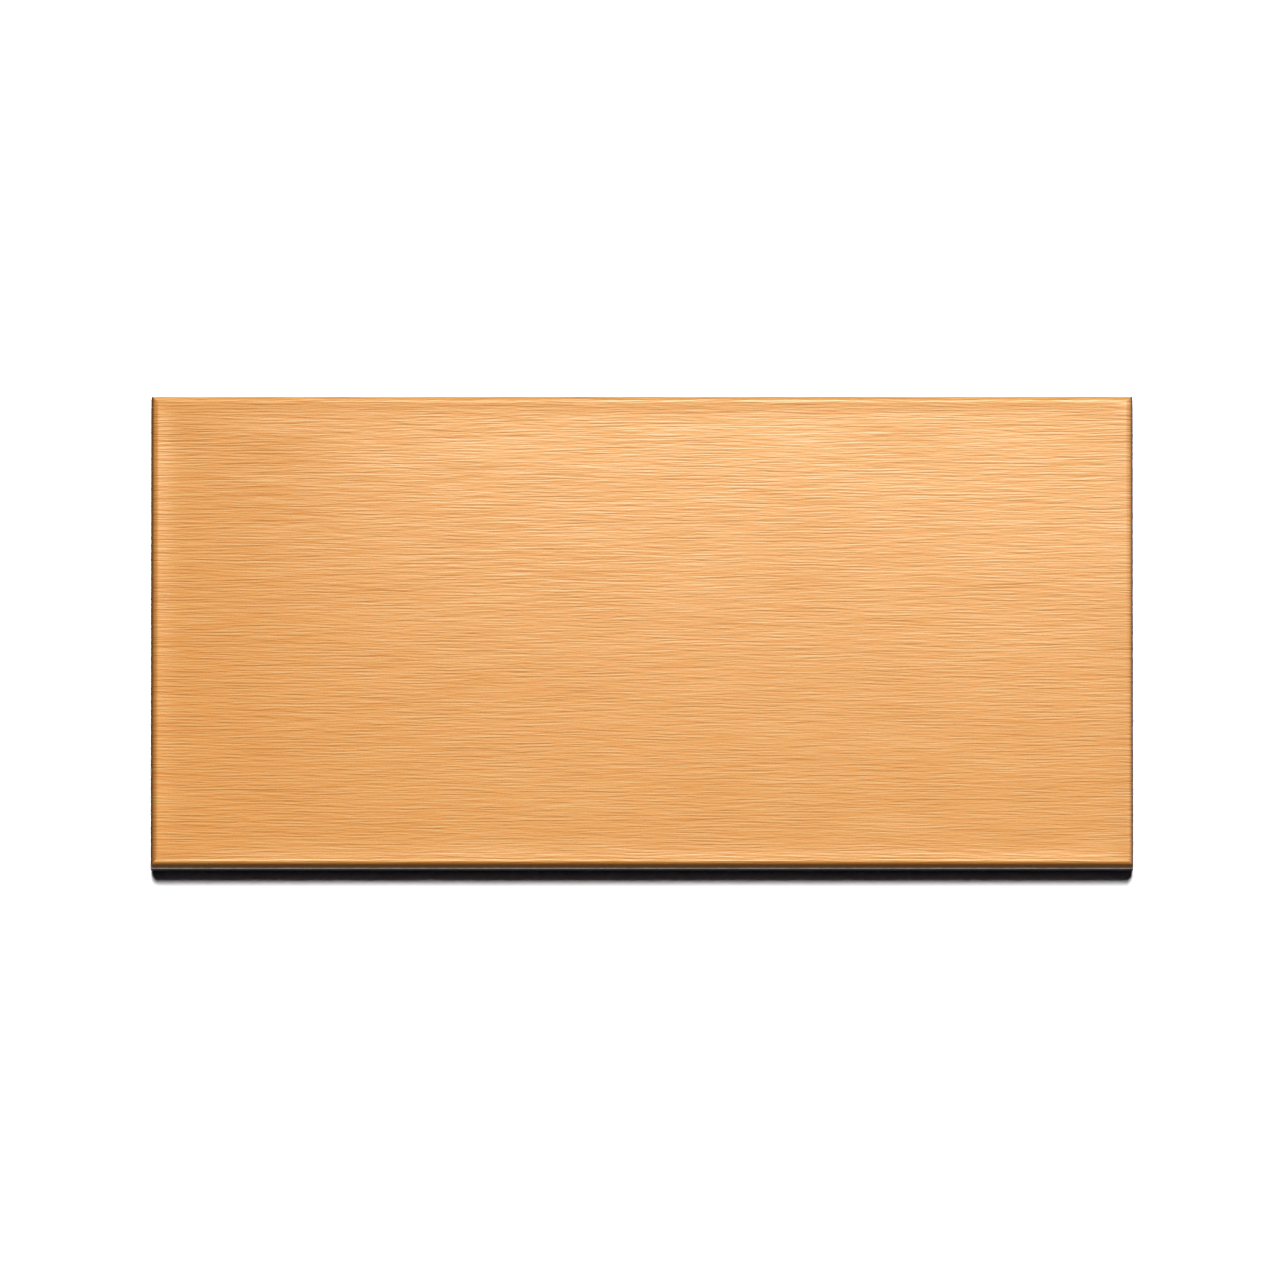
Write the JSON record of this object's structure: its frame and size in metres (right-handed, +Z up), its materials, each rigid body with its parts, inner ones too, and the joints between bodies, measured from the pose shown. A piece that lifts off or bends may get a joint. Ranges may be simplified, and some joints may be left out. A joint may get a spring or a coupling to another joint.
{
  "type": "slab paperweight",
  "caption": "Low rectangular slab paperweight: a folded brushed brass cover over a steel weight, closed by a black base plate on a thin felt pad.",
  "frame": {"origin": "centre of the underside of the felt pad, on the surface the object rests on", "axes": "+X along the long side, +Y along the short side to the rear, +Z up out of the top face"},
  "size_m": [0.125, 0.0602, 0.008],
  "materials": {
    "brushed_brass": "hairline brushed along the long side, satin, clear lacquered",
    "adhesive_film": "translucent tacky film",
    "mill_steel": "mill finish, oiled",
    "black_coating": "semi-matt black coating on steel, with the coating thin on the upper arris",
    "zinc_steel": "bright zinc plated",
    "black_felt": "pressed felt"
  },
  "bodies": {
    "root": {"brass_cover": "brushed_brass", "cover_bond_film": "adhesive_film", "steel_weight": "mill_steel", "base_plate": "black_coating", "base_screws": "zinc_steel", "pad_adhesive": "adhesive_film", "felt_pad": "black_felt"}
  },
  "joints": []
}
